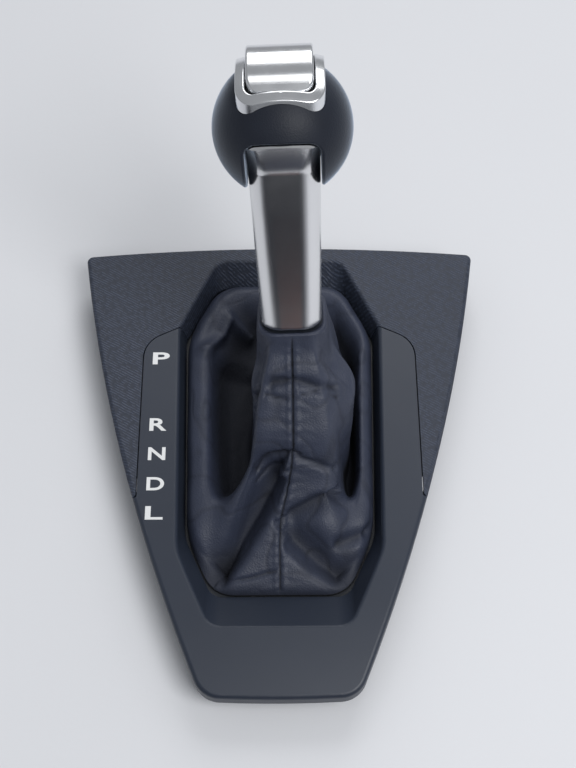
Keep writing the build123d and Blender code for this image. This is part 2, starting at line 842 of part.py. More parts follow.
# Tray under the push button: a wide shelf in the ball and a tub that sits down in the sleeve
plate_inner_radius = knob_radius + frame_plate_proud - frame_plate_depth
with BuildPart() as button_housing:
    with BuildSketch(lever_plane.offset(housing_shelf_above)):
        RectangleRounded(housing_width, housing_length, housing_radius)
    extrude(amount=knob_radius)
    with BuildSketch(lever_plane.offset(tub_bottom_z)):
        RectangleRounded(tub_width, tub_width, tub_corner_radius)
    extrude(amount=tub_below + housing_shelf_above)
    add(barrel(plate_inner_radius - frame_plate_gap), mode=Mode.INTERSECT)
    with BuildSketch(lever_plane.offset(housing_shelf_above + housing_wall)):
        RectangleRounded(
            housing_width - 2 * housing_wall,
            housing_length - 2 * housing_wall,
            housing_radius - housing_wall,
        )
    extrude(amount=knob_radius, mode=Mode.SUBTRACT)
    with BuildSketch(lever_plane.offset(tub_floor_z)):
        RectangleRounded(tub_width - 2 * tub_wall, tub_width - 2 * tub_wall, tub_corner_radius - tub_wall)
    extrude(amount=knob_radius, mode=Mode.SUBTRACT)
    with BuildSketch(lever_plane.offset(tub_bottom_z)):
        Circle(guide_radius)
        with Locations((core_screw_offset, core_screw_offset), (-core_screw_offset, -core_screw_offset)):
            Circle(core_screw_radius + boss_clearance)
    extrude(amount=tub_floor, mode=Mode.SUBTRACT)

button_housing.part.label = "button_housing"
export_step(button_housing.part, "parts/button_housing.step")

# Screws from the tub down into the core
with BuildPart() as core_screws:
    with BuildSketch(lever_plane.offset(tub_floor_z)):
        with Locations((core_screw_offset, core_screw_offset), (-core_screw_offset, -core_screw_offset)):
            Circle(core_screw_head_radius)
    extrude(amount=core_screw_head_height)
    with BuildSketch(lever_plane.offset(tub_floor_z)):
        with Locations((core_screw_offset, core_screw_offset), (-core_screw_offset, -core_screw_offset)):
            Circle(core_screw_radius)
    extrude(amount=-core_screw_length)

core_screws.part.label = "core_screws"
export_step(core_screws.part, "parts/core_screws.step")

# Seat of the button frame in the ball
with BuildPart() as frame_seat:
    with BuildSketch(lever_plane):
        RectangleRounded(
            frame_plate_width + 2 * frame_plate_gap,
            frame_plate_length + 2 * frame_plate_gap,
            frame_plate_radius + frame_plate_gap,
        )
    extrude(amount=2 * knob_radius)
    add(barrel(plate_inner_radius - frame_plate_gap), mode=Mode.SUBTRACT)

# Slot in the ball for the sleeve's head
with BuildPart() as grip_slot:
    sleeve_front = sleeve_waist_depth / 2 + knob_gap
    slot_length = sleeve_front + knob_radius + sleeve_corner_radius + 2 * past
    extrude(window_face(sleeve_front, knob_gap), amount=slot_length)
    with BuildSketch(lever_plane.offset(-knob_radius - past)):
        with Locations((0, sleeve_front - slot_length / 2)):
            RectangleRounded(sleeve_head_width + 2 * knob_gap, slot_length, rim_section_radius + knob_gap)
    extrude(amount=2 * knob_radius, mode=Mode.INTERSECT)

# Soft ball, open at the rear and below where the sleeve enters it
with BuildPart() as knob_grip:
    with Locations(lever_plane):
        Sphere(knob_radius)
    add(grip_slot.part, mode=Mode.SUBTRACT)
    slot_edges = knob_grip.edges().filter_by(
        lambda e: abs((e @ 0.5 - knob_centre).length - knob_radius) < knob_gap
    )
    fillet(slot_edges, radius=knob_edge_radius)
    with BuildSketch(lever_plane.offset(housing_shelf_above - knob_gap)):
        RectangleRounded(
            housing_width + 2 * frame_plate_gap,
            housing_length + 2 * frame_plate_gap,
            housing_radius + frame_plate_gap,
        )
    extrude(amount=knob_radius, mode=Mode.SUBTRACT)
    add(frame_seat.part, mode=Mode.SUBTRACT)

knob_grip.part.label = "knob_grip"
export_step(knob_grip.part, "parts/knob_grip.step")

# Plated frame round the button, proud of the ball
with BuildPart() as button_frame:
    with BuildSketch(lever_plane):
        RectangleRounded(frame_plate_width, frame_plate_length, frame_plate_radius)
        RectangleRounded(
            frame_plate_width - 2 * frame_plate_bar,
            frame_plate_length - 2 * frame_plate_bar,
            frame_plate_radius - frame_plate_bar,
            mode=Mode.SUBTRACT,
        )
    extrude(amount=2 * knob_radius)
    add(barrel(knob_radius + frame_plate_proud), mode=Mode.INTERSECT)
    outer_rim = button_frame.faces().sort_by(Axis(knob_centre, lever_axis))[-1].edges()
    fillet(outer_rim, radius=frame_plate_edge)
    add(barrel(plate_inner_radius), mode=Mode.SUBTRACT)

button_frame.part.label = "button_frame"
export_step(button_frame.part, "parts/button_frame.step")


# Push button
button_width = frame_plate_width - 2 * frame_plate_bar - 2 * button_gap
button_length = frame_plate_length - 2 * frame_plate_bar - 2 * button_gap


def button_side(inset):
    """Side view of the button: a straight skirt under a barrel top."""
    half = button_length / 2 - inset
    crease = half - button_crease_inset
    crease_z = button_crease_height - inset
    brow_z = crease_z - 2 * button_crease_inset
    bottom_z = button_skirt_bottom - past * min(1.0, inset)
    with BuildSketch(lever_side_plane) as side:
        with BuildLine():
            ThreePointArc((crease, crease_z), (0, button_top - inset), (-crease, crease_z))
            Polyline((-crease, crease_z), (-half, brow_z), (-half, bottom_z), (half, bottom_z))
            Polyline((half, bottom_z), (half, brow_z), (crease, crease_z))
        make_face()
    return side.sketch


with BuildPart() as button_hollow:
    extrude(button_side(button_wall), amount=button_width / 2 - button_wall, both=True)

with BuildPart() as button_cap:
    extrude(button_side(0.0), amount=button_width / 2, both=True)
    with BuildSketch(lever_plane):
        RectangleRounded(button_width, button_length, button_corner_radius)
    extrude(amount=2 * knob_radius, mode=Mode.INTERSECT)
    top_edges = button_cap.faces().sort_by(Axis(knob_centre, lever_axis))[-1].edges()
    fillet(top_edges.filter_by(lambda e: abs((e % 0.5).dot(lever_right)) < 0.9), radius=button_edge_radius)
    add(button_hollow.part, mode=Mode.SUBTRACT)

button_cap.part.label = "button_cap"
export_step(button_cap.part, "parts/button_cap.step")

# Carrier snapped inside the cap, with a boss for the rod and a seat for the spring
carrier_bottom_z = button_skirt_bottom + carrier_inset
with BuildPart() as button_carrier:
    with BuildSketch(lever_plane.offset(carrier_bottom_z)):
        RectangleRounded(
            button_width - 2 * button_wall - 2 * carrier_clearance,
            button_length - 2 * button_wall - 2 * carrier_clearance,
            button_corner_radius - button_wall,
        )
    extrude(amount=carrier_thickness)
    with BuildSketch(lever_plane.offset(carrier_bottom_z)):
        Circle(carrier_boss_radius)
    extrude(amount=-carrier_boss_length)
    with BuildSketch(lever_plane.offset(carrier_bottom_z - carrier_boss_length)):
        Circle(rod_radius + rod_seat_clearance)
    extrude(amount=rod_seat, mode=Mode.SUBTRACT)

button_carrier.part.label = "button_carrier"
export_step(button_carrier.part, "parts/button_carrier.step")

# Rod from the carrier down to just above the socket
rod_top_z = carrier_bottom_z - carrier_boss_length + rod_seat
rod_bottom_z = socket_top_z + rod_stop_gap + button_travel
with BuildPart() as push_rod:
    with BuildSketch(lever_plane.offset(rod_bottom_z)):
        Circle(rod_radius)
    extrude(amount=rod_top_z - rod_bottom_z)
    chamfer(push_rod.edges().filter_by(GeomType.CIRCLE), length=rod_radius / 5)

push_rod.part.label = "push_rod"
export_step(push_rod.part, "parts/push_rod.step")

# Return spring between the tub's floor and the carrier
spring_radius = carrier_boss_radius + spring_gap + spring_wire / 2
spring_bottom_z = tub_floor_z + spring_wire
spring_height = carrier_bottom_z - spring_wire - spring_bottom_z
with BuildPart() as button_spring:
    with BuildLine() as coil:
        Helix(
            pitch=spring_height / spring_turns,
            height=spring_height,
            radius=spring_radius,
            center=knob_centre + lever_axis * spring_bottom_z,
            direction=lever_axis,
        )
    with BuildSketch(Plane(origin=coil.line @ 0, z_dir=coil.line % 0)):
        RegularPolygon(spring_wire / 2, spring_wire_sides)
    sweep(path=coil.line, is_frenet=True)

button_spring.part.label = "button_spring"
export_step(button_spring.part, "parts/button_spring.step")
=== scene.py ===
"""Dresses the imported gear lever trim: finishes, leather gaiter, spring, gear letters and a pale studio."""

import json
import math

import bpy
import numpy as np
from bpy.props import FloatProperty, FloatVectorProperty, IntProperty, PointerProperty
from mathutils import Matrix, Vector, noise


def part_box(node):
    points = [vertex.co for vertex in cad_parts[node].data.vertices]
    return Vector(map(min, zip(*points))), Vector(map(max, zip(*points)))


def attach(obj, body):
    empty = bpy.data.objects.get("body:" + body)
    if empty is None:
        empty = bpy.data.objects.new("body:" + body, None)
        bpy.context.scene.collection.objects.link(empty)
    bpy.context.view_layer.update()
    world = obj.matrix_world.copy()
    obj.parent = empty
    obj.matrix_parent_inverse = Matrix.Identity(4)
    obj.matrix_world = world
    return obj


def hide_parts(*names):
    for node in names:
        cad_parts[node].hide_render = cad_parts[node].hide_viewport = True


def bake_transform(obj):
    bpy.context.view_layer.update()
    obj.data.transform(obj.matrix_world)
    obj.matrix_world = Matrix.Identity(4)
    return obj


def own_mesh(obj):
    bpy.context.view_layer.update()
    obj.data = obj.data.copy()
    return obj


bl_info = {
    "name": "Gear lever trim",
    "version": (1, 0, 0),
    "blender": (4, 5, 0),
    "location": "View3D > Sidebar > Gear trim",
    "description": "Finishes, leather gaiter, gear letters and studio for a gear lever trim",
    "category": "Object",
}

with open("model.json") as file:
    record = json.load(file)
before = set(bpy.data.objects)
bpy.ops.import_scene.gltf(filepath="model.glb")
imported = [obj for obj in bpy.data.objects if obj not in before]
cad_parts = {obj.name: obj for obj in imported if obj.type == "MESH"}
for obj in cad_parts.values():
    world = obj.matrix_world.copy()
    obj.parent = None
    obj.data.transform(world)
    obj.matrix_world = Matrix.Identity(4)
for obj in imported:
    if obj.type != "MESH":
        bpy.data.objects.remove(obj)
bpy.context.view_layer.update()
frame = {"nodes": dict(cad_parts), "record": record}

MM = 0.001

# Half of the height of the ring inside the gaiter's top
collar_half_height = 3 * MM

# Places read from the frame
panel_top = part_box("upper_panel")[1].z
collar_low, collar_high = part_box("gaiter_collar")
socket_mount = next(mount for mount in frame["record"]["mounts"] if mount["name"] == "lever_socket")
lever_axis = -Vector(socket_mount["axis"]).normalized()
lever_right = (Vector((1, 0, 0)) - lever_axis * lever_axis.x).normalized()
lever_front = lever_axis.cross(lever_right)
collar_middle = (collar_low + collar_high) / 2
collar_top = collar_middle + lever_axis * collar_half_height


class TrimFinish(bpy.types.PropertyGroup):
    """Colours and grain sizes of the finishes."""

    panel_colour: FloatVectorProperty(
        name="Ribbed panel", description="Colour of the ribbed upper panel",
        subtype="COLOR", size=3, min=0, max=1, default=(0.046, 0.058, 0.092),
    )
    bezel_colour: FloatVectorProperty(
        name="Smooth bezel", description="Colour of the smooth lower bezel",
        subtype="COLOR", size=3, min=0, max=1, default=(0.022, 0.029, 0.046),
    )
    inner_colour: FloatVectorProperty(
        name="Inner plastic", description="Colour of the moulded pieces inside and below",
        subtype="COLOR", size=3, min=0, max=1, default=(0.013, 0.016, 0.022),
    )
    leather_colour: FloatVectorProperty(
        name="Gaiter leather", description="Colour of the gaiter's leather",
        subtype="COLOR", size=3, min=0, max=1, default=(0.032, 0.039, 0.065),
    )
    grip_colour: FloatVectorProperty(
        name="Grip skin", description="Colour of the knob's soft skin",
        subtype="COLOR", size=3, min=0, max=1, default=(0.014, 0.017, 0.026),
    )
    sleeve_colour: FloatVectorProperty(
        name="Satin sleeve", description="Colour of the satin metal sleeve",
        subtype="COLOR", size=3, min=0, max=1, default=(0.80, 0.80, 0.81),
    )
    plate_colour: FloatVectorProperty(
        name="Bright plate", description="Colour of the plated button and its frame",
        subtype="COLOR", size=3, min=0, max=1, default=(0.82, 0.83, 0.85),
    )
    steel_colour: FloatVectorProperty(
        name="Steel", description="Colour of screws, clips and spring",
        subtype="COLOR", size=3, min=0, max=1, default=(0.50, 0.49, 0.47),
    )
    letter_colour: FloatVectorProperty(
        name="Letters", description="Colour of the printed gear letters",
        subtype="COLOR", size=3, min=0, max=1, default=(0.80, 0.81, 0.82),
    )
    rib_pitch: FloatProperty(
        name="Rib pitch", description="Spacing of the upper panel's fine ribs",
        subtype="DISTANCE", min=0.0003, max=0.005, default=1.15 * MM,
    )
    grain_size: FloatProperty(
        name="Leather grain", description="Size of one cell of the leather's grain",
        subtype="DISTANCE", min=0.0002, max=0.005, default=0.8 * MM,
    )


class GaiterShape(bpy.types.PropertyGroup):
    """Sizes of the leather gaiter."""

    leather: FloatProperty(
        name="Leather", description="Thickness of the leather",
        subtype="DISTANCE", min=0.0005, max=0.003, default=1.2 * MM,
    )
    around: IntProperty(
        name="Columns", description="Faces round the gaiter", min=40, max=400, default=300,
    )
    along: IntProperty(
        name="Rows", description="Faces from hem to collar", min=20, max=200, default=140,
    )


class LetterShape(bpy.types.PropertyGroup):
    """Sizes of the gear letters on the left arm."""

    height: FloatProperty(
        name="Height", description="Height of a capital letter",
        subtype="DISTANCE", min=0.002, max=0.02, default=6.4 * MM,
    )
    width: FloatProperty(
        name="Width", description="Width of a capital letter",
        subtype="DISTANCE", min=0.002, max=0.02, default=7.9 * MM,
    )
    relief: FloatProperty(
        name="Relief", description="Thickness of the print",
        subtype="DISTANCE", min=0.00001, max=0.0005, default=0.05 * MM,
    )


class StudioSetup(bpy.types.PropertyGroup):
    """Camera, light and floor."""

    lens: FloatProperty(
        name="Lens", description="Focal length on a 36 mm high sensor",
        min=10, max=300, default=58.7,
    )
    roll: FloatProperty(
        name="Roll", description="Turn of the camera about its line of sight",
        subtype="ANGLE", min=-1, max=1, default=math.radians(-0.35),
    )
    floor_colour: FloatVectorProperty(
        name="Floor", description="Colour of the plain floor",
        subtype="COLOR", size=3, min=0, max=1, default=(0.72, 0.73, 0.76),
    )
    flag_colour: FloatVectorProperty(
        name="Flag", description="Colour of the dark card that the metal reflects",
        subtype="COLOR", size=3, min=0, max=1, default=(0.02, 0.022, 0.03),
    )
    flag_warm: FloatVectorProperty(
        name="Flag's streak", description="Colour of the card's warm streak",
        subtype="COLOR", size=3, min=0, max=1, default=(0.42, 0.20, 0.15),
    )
    sky_strength: FloatProperty(
        name="Sky", description="Strength of the even light from all round", min=0, max=5, default=0.33,
    )
    key_power: FloatProperty(
        name="Key light", description="Power of the soft lamp behind on the right",
        subtype="POWER", min=0, max=500, default=10.5,
    )
    front_power: FloatProperty(
        name="Front light", description="Power of the soft lamp in front",
        subtype="POWER", min=0, max=500, default=6,
    )
    top_power: FloatProperty(
        name="Top light", description="Power of the small lamp overhead",
        subtype="POWER", min=0, max=500, default=0.25,
    )


class Wire:
    """A shader value that takes part in Python sums; each sum adds one Math node."""

    def __init__(self, finish, socket):
        self.finish = finish
        self.socket = socket

    def __add__(self, other):
        return self.finish.maths("ADD", self, other)

    def __sub__(self, other):
        return self.finish.maths("SUBTRACT", self, other)

    def __rsub__(self, other):
        return self.finish.maths("SUBTRACT", other, self)

    def __mul__(self, other):
        return self.finish.maths("MULTIPLY", self, other)

    __radd__ = __add__
    __rmul__ = __mul__


class Finish:
    """One material and the nodes that make it."""

    def __init__(self, name, **constants):
        self.material = bpy.data.materials.new(name)
        self.material.use_nodes = True
        self.tree = self.material.node_tree
        self.surface = self.tree.nodes["Principled BSDF"]
        for socket, value in constants.items():
            self.surface.inputs[socket.replace("_", " ")].default_value = value

    def node(self, kind, settings=None, inputs=None, output=0):
        """Adds a node, sets it up, feeds its sockets and gives one of its outputs."""
        made = self.tree.nodes.new(kind)
        for name, value in (settings or {}).items():
            setattr(made, name, value)
        for socket, value in (inputs or {}).items():
            self.feed(made.inputs[socket], value)
        return Wire(self, made.outputs[output])

    def feed(self, socket, value):
        """Links a wire to a socket, or sets the socket's own value."""
        if isinstance(value, Wire):
            self.tree.links.new(value.socket, socket)
        else:
            socket.default_value = value

    def maths(self, operation, first, second=0.0):
        """One Math node."""
        return self.node("ShaderNodeMath", {"operation": operation}, {0: first, 1: second})

    def place(self):
        """Object coordinates, in metres."""
        return self.node("ShaderNodeTexCoord", output="Object")

    def turned(self, axis, angle):
        """Object coordinates turned by angle about axis."""
        return self.node(
            "ShaderNodeVectorRotate", {"rotation_type": "AXIS_ANGLE"},
            {"Vector": self.place(), "Axis": axis, "Angle": angle},
        )

    def split(self, vector, axis):
        """One coordinate of a vector."""
        return self.node("ShaderNodeSeparateXYZ", inputs={"Vector": vector}, output=axis)

    def noise(self, size, vector=None, detail=2.0):
        """Cloudy noise from 0 to 1, whose patches are about size metres across."""
        return self.node(
            "ShaderNodeTexNoise", {"noise_dimensions": "3D"},
            {"Vector": vector or self.place(), "Scale": 1 / size, "Detail": detail},
            "Fac",
        )

    def cells(self, size):
        """Distance field of grain cells about size metres across."""
        return self.node(
            "ShaderNodeTexVoronoi", {"feature": "F1"},
            {"Vector": self.place(), "Scale": 1 / size},
            "Distance",
        )

    def attribute(self, name):
        """A number painted on the mesh."""
        return self.node("ShaderNodeAttribute", {"attribute_name": name}, output="Fac")

    def fade(self, value, low, high):
        """Smooth change from 0 to 1 as value goes from low to high."""
        return self.node(
            "ShaderNodeMapRange", {"interpolation_type": "SMOOTHSTEP"},
            {"Value": value, "From Min": low, "From Max": high},
        )

    def mix(self, share, first, second):
        """Colour between two colours."""
        made = self.tree.nodes.new("ShaderNodeMix")
        made.data_type = "RGBA"
        for name, value in (("Factor_Float", share), ("A_Color", first), ("B_Color", second)):
            socket = next(one for one in made.inputs if one.identifier == name)
            self.feed(socket, value if isinstance(value, Wire) else (*value, 1))
        return Wire(self, next(one for one in made.outputs if one.identifier == "Result_Color"))

    def drift(self, cloud, colour, darkest, palest):
        """A colour that drifts with a cloud between two of its shades."""
        return self.mix(cloud, shade(colour, darkest), shade(colour, palest))

    def colour(self, value):
        """Sets the base colour."""
        self.feed(self.surface.inputs["Base Color"], value)

    def rough(self, start, changes):
        """Sets the roughness: where it starts, and patterns with how much each changes it."""
        value = sum((pattern * amount for pattern, amount in changes), start)
        self.feed(self.surface.inputs["Roughness"], value)

    def relief(self, height, depth, normal=None):
        """Bump whose full height is depth metres; a second bump can stand on the first."""
        inputs = {"Height": height, "Distance": depth, "Strength": 1.0}
        if normal:
            inputs["Normal"] = normal
        bump = self.node("ShaderNodeBump", inputs=inputs)
        self.feed(self.surface.inputs["Normal"], bump)
        return bump


def shade(colour, share):
    """A colour made lighter or darker by share."""
    return tuple(min(1.0, part * share) for part in colour)


def dress(finish, *nodes):
    """Gives CAD nodes a finish."""
    for name in nodes:
        mesh = frame["nodes"][name].data
        mesh.materials.clear()
        mesh.materials.append(finish.material)


# The panel's ribs: their slant, how far they waver, how deep they are, and the painted shade in the grooves
# between them
rib_slant = math.radians(-60)
rib_waver = 0.8 * MM
rib_depth = 0.14 * MM
rib_valley_shade = 0.5

# Cells of the leather's fine grain and of the ball's skin, as shares of the leather's grain size
fine_grain_share = 0.45
ball_grain_share = 0.8

# Leather under painted shade and on the darker seam: share of its colour that is left, and how much duller
# it is
seam_and_shade_colour_share = 0.15
seam_and_shade_dulling = 0.4

# How the sleeve's streaks are drawn out along the lever
streak_scale = (1, 1, 0.02)

# Lowest roughness of the screws and clips, and of the spring
fastener_dullness = 0.30
spring_dullness = 0.22


def ribbed_panel(settings):
    """Charcoal moulding covered in fine slanting ribs that waver and break."""
    finish = Finish("ribbed_panel", IOR=1.48)
    slant = finish.turned((0, 0, 1), rib_slant)
    across = finish.split(slant, "X")
    wander = finish.noise(6 * MM) - 0.5
    wave = finish.maths("SINE", (across + wander * rib_waver) * (2 * math.pi / settings.rib_pitch))
    breaks = finish.fade(finish.noise(2.2 * MM, detail=3), low=0.35, high=0.6)
    ribs = (wave * 0.5 + 0.5) * breaks
    cloud = finish.noise(30 * MM)
    base = finish.drift(cloud, settings.panel_colour, darkest=0.9, palest=1.1)
    # Painted shade darkens the grooves between the ribs
    finish.colour(finish.mix(ribs, shade(settings.panel_colour, rib_valley_shade), base))
    finish.rough(start=0.55, changes=[(ribs, -0.08)])
    fine = finish.relief(finish.noise(0.35 * MM), depth=0.02 * MM)
    finish.relief(ribs, rib_depth, normal=fine)
    return finish


def smooth_bezel(settings):
    """Charcoal moulding with a fine spark-eroded skin."""
    finish = Finish("smooth_bezel", IOR=1.48)
    cloud = finish.noise(40 * MM)
    finish.colour(finish.drift(cloud, settings.bezel_colour, darkest=0.92, palest=1.08))
    finish.rough(start=0.40, changes=[(finish.noise(12 * MM), 0.06)])
    finish.relief(finish.noise(0.4 * MM, detail=3), depth=0.03 * MM)
    return finish


def inner_plastic(settings):
    """Plain black moulding with flow marks."""
    finish = Finish("inner_plastic", IOR=1.48)
    cloud = finish.noise(14 * MM)
    finish.colour(finish.drift(cloud, settings.inner_colour, darkest=0.8, palest=1.3))
    finish.rough(start=0.38, changes=[(cloud, 0.15)])
    finish.relief(finish.noise(0.6 * MM), depth=0.02 * MM)
    return finish


def leather(settings):
    """Soft dark leather: fine grain; painted shade darkens and dulls it in folds, valleys, wrinkles and at
    the hem, and the seam is darker.
    """
    finish = Finish("gaiter_leather", IOR=1.45)
    cells = finish.cells(settings.grain_size)
    fine = finish.cells(settings.grain_size * fine_grain_share)
    seam_and_painted_shade = finish.attribute("seam_and_painted_shade")
    cloud = finish.noise(9 * MM)
    base = finish.drift(cloud, settings.leather_colour, darkest=0.8, palest=1.2)
    # Painted shade in folds, valleys, wrinkles and at the hem, with the darker seam, takes the colour down
    # here
    finish.colour(finish.mix(seam_and_painted_shade, base, shade(settings.leather_colour, seam_and_shade_colour_share)))
    finish.rough(start=0.42, changes=[(finish.noise(5 * MM, detail=3), 0.14), (seam_and_painted_shade, seam_and_shade_dulling)])
    small = finish.relief(fine, depth=0.05 * MM)
    finish.relief(cells, depth=0.10 * MM, normal=small)
    return finish


def grip_skin(settings):
    """Soft matt skin of the ball."""
    finish = Finish(
        "grip_leather", IOR=1.45, Specular_IOR_Level=0.25,
        Sheen_Weight=1.0, Sheen_Roughness=0.3, Sheen_Tint=(0.70, 0.82, 1.0, 1.0),
    )
    cells = finish.cells(settings.grain_size * ball_grain_share)
    cloud = finish.noise(10 * MM)
    finish.colour(finish.drift(cloud, settings.grip_colour, darkest=0.85, palest=1.15))
    finish.rough(start=0.42, changes=[(cloud, 0.10)])
    finish.relief(cells, depth=0.05 * MM)
    return finish


def satin_sleeve(settings):
    """Satin metal drawn along the lever."""
    finish = Finish("satin_metal", Metallic=1.0)
    lean = math.atan2(lever_axis.y, lever_axis.z)
    upright = finish.turned((1, 0, 0), lean)
    drawn = finish.node("ShaderNodeMapping", inputs={"Vector": upright, "Scale": streak_scale})
    streaks = finish.noise(0.3 * MM, drawn, detail=3)
    cloud = finish.noise(7 * MM)
    finish.colour(finish.drift(cloud, settings.sleeve_colour, darkest=0.95, palest=1.0))
    finish.rough(start=0.22, changes=[(streaks, 0.03), (cloud, 0.04)])
    finish.relief(streaks, depth=0.0008 * MM)
    return finish


def bright_plate(settings):
    """Satin plating of the button and its frame."""
    finish = Finish("bright_plate", Metallic=1.0)
    cloud = finish.noise(5 * MM, detail=3)
    finish.colour(finish.drift(cloud, settings.plate_colour, darkest=0.96, palest=1.0))
    finish.rough(start=0.16, changes=[(cloud, 0.08)])
    finish.relief(finish.noise(0.5 * MM), depth=0.004 * MM)
    return finish


def steel(settings, name, dull):
    """Plain steel with small stains."""
    finish = Finish(name, Metallic=1.0)
    cloud = finish.noise(2 * MM, detail=4)
    finish.colour(finish.drift(cloud, settings.steel_colour, darkest=0.75, palest=1.15))
    finish.rough(start=dull, changes=[(cloud, 0.2)])
    finish.relief(cloud, depth=0.02 * MM)
    return finish


def letter_print(settings):
    """Printed white, slightly uneven."""
    finish = Finish("letter_print", IOR=1.45)
    cloud = finish.noise(1.5 * MM, detail=3)
    finish.colour(finish.drift(cloud, settings.letter_colour, darkest=0.93, palest=1.0))
    finish.rough(start=0.45, changes=[(cloud, 0.1)])
    return finish


def clear_selection():
    """Leaves nothing selected."""
    if bpy.context.object and bpy.context.object.mode != "OBJECT":
        bpy.ops.object.mode_set(mode="OBJECT")
    bpy.ops.object.select_all(action="DESELECT")


def apply_all(piece):
    """Applies a piece's modifiers in order."""
    for modifier in list(piece.modifiers):
        bpy.ops.object.modifier_apply(modifier=modifier.name)


# Gaiter outlines: corners on the right-hand side, from rear to front, and their rounding, in millimetres
hem_corners = ((29.6, -63.9), (41.8, -37.2), (44.3, 64.6), (29.6, 93.6))
hem_rounding = 9.0
collar_corners = ((14.6, -15.4), (14.6, 15.4))
collar_rounding = 8.0
foot_corners = ((12.6, -13.1), (12.6, 13.1))
foot_rounding = 7.0
rounding_samples = 9
lip_height = 14.0
hem_drop = 1.5

# Where along the hem each section passes into the next, in millimetres
flank_blend_y = -14.0
flank_blend_length = 38.0
front_blend_y = 46.0
front_blend_length = 26.0
rear_blend_y = -40.0
rear_blend_length = 22.0

# How much closer the columns stand at the rear seam, as a share
seam_crowding = 0.6

# Gaiter sections, hem first: share of the way in to the collar, and of the rise from lip to collar
side_section = (
    (0.0, 0.004), (0.015, 0.075), (0.07, 0.14), (0.16, 0.17), (0.25, 0.175), (0.31, 0.145),
    (0.35, 0.04), (0.395, -0.07), (0.46, -0.13), (0.57, -0.12), (0.61, 0.18), (0.645, 0.48),
    (0.71, 0.60), (0.80, 0.665), (0.94, 0.72), (1.0, 1.0),
)
flank_section = (
    (0.0, 0.004), (0.015, 0.075), (0.07, 0.14), (0.16, 0.17), (0.25, 0.175), (0.31, 0.145),
    (0.35, 0.04), (0.395, -0.07), (0.47, -0.13), (0.60, -0.14), (0.70, -0.12), (0.77, 0.02),
    (0.83, 0.28), (0.89, 0.58), (0.95, 0.82), (1.0, 1.0),
)
rear_section = (
    (0.0, 0.004), (0.02, 0.045), (0.07, 0.085), (0.15, 0.135), (0.24, 0.20), (0.33, 0.27),
    (0.42, 0.345), (0.49, 0.41), (0.54, 0.48), (0.585, 0.57), (0.64, 0.645), (0.71, 0.705),
    (0.79, 0.775), (0.87, 0.86), (0.95, 0.905), (1.0, 1.0),
)
front_section = (
    (0.0, 0.004), (0.02, 0.06), (0.08, 0.11), (0.17, 0.13), (0.27, 0.10), (0.38, 0.02),
    (0.48, -0.06), (0.58, -0.08), (0.68, -0.04), (0.76, 0.09), (0.82, 0.28), (0.87, 0.48),
    (0.91, 0.66), (0.945, 0.80), (0.975, 0.90), (1.0, 1.0),
)

# How the upper part fell to the right: share of the way in, shift in millimetres, share of its width
column_set = (
    (0.3, 0.0, 1.0), (0.45, 3.0, 0.95), (0.6, 7.0, 0.86), (0.68, 7.0, 0.94),
    (0.76, 6.0, 1.12), (0.84, 4.5, 1.12), (0.93, 1.5, 0.98), (1.0, 0.0, 1.0),
)

# Where the bulge below the collar fades out towards the front, in millimetres
bulge_front_y = 10.0
bulge_length = 45.0

# How far the corners of the lines above and below are rounded off, as a share of the way in
ease_reach = 0.05
ease_samples = 7

# How the rear seam wanders: share of the way in, shift in millimetres
seam_run = (
    (0.0, 0.0), (0.2, -1.1), (0.34, -0.9), (0.48, 1.3), (0.56, 2.9), (0.82, 1.4), (1.0, 0.0),
)

# Folds drawn in plan, in millimetres: height, widths to the left and right of the route, and the route
folds = (
    (-2.6, 2.2, 2.2, ((-13, 9), (-4, 7), (6, 7), (17, 6), (26, 9))),
    (-1.0, 1.0, 1.0, ((-12, 5), (-6, 3), (2, 2))),
    (-0.8, 0.9, 0.9, ((9, 3), (17, 4), (26, 5))),
    (-2.8, 2.2, 2.2, ((-12, -21), (-4, -18), (6, -16))),
    (-1.0, 0.9, 0.9, ((-11, -25), (-4, -22), (3, -21))),
    (-1.8, 1.6, 1.6, ((7, -17), (17, -19), (26, -18))),
    (-13.0, 3.0, 11.0, ((-2, -25), (-10, -37), (-19, -49), (-28, -60))),
    (-8.0, 9.0, 3.6, ((5, -46), (16, -54), (28, -60))),
    (-6.0, 7.0, 2.0, ((28, -24), (15, -31), (4, -35))),
    (4.5, 3.0, 3.0, ((-14, 68), (-24, 73), (-28, 64), (-33, 53))),
    (-3.0, 3.0, 3.0, ((27, -46), (35, -42), (41, -37))),
    (-1.2, 1.0, 1.0, ((-27, -61), (-13, -60), (-2, -57))),
    (2.0, 5.0, 5.0, ((-6, 76), (8, 79), (22, 74))),
)

# Shares of the rows over which the folds fade out at the hem and at the collar
fold_hold_hem = 0.10
fold_hold_collar = 0.07

# How far past its nearest place a route looks for the topmost leather, in millimetres
route_reach = 1.5

# Height at which painted shade starts in a valley, and the drop that it takes to deepen, in millimetres
valley_top = 22.0
valley_depth = 13.0

# Shares of painted shade in valleys, folds and wrinkles, and of a fold's width; the rows at the hem, under
# the lip, get full painted shade
valley_shade = 0.8
fold_shade = 0.5
fold_shade_width = 0.5
wrinkle_shade = 0.25
hem_rows = 2

# Seam groove, lips and puckers, and wrinkles, in millimetres apart from sharpness, sway and line
seam_depth = 0.8
seam_width = 0.4
lip_rise = 0.3
lip_offset = 1.9
lip_sharpness = 4
pucker_rise = 0.3
pucker_pitch = 5.0
pucker_reach = 4.0
pucker_sway = 3
wrinkle_depth = 0.22
wrinkle_size = 14.0
wrinkle_line = 0.07
ripple_rise = 0.55
ripple_size = 19.0

# How near points are joined where the sheet closes at its seam, and in the spring's coils
seam_merge = 0.01 * MM
coil_merge = 0.001 * MM


def soft_step(values):
    """Smooth step from 0 to 1."""
    held = np.clip(values, 0, 1)
    return held**2 * (3 - 2 * held)


def eased(values, places, heights):
    """Heights between given places, with the corners of the line between them rounded off."""
    offsets = np.linspace(-ease_reach, ease_reach, ease_samples)
    return sum(np.interp(values + offset, places, heights) for offset in offsets) / len(offsets)


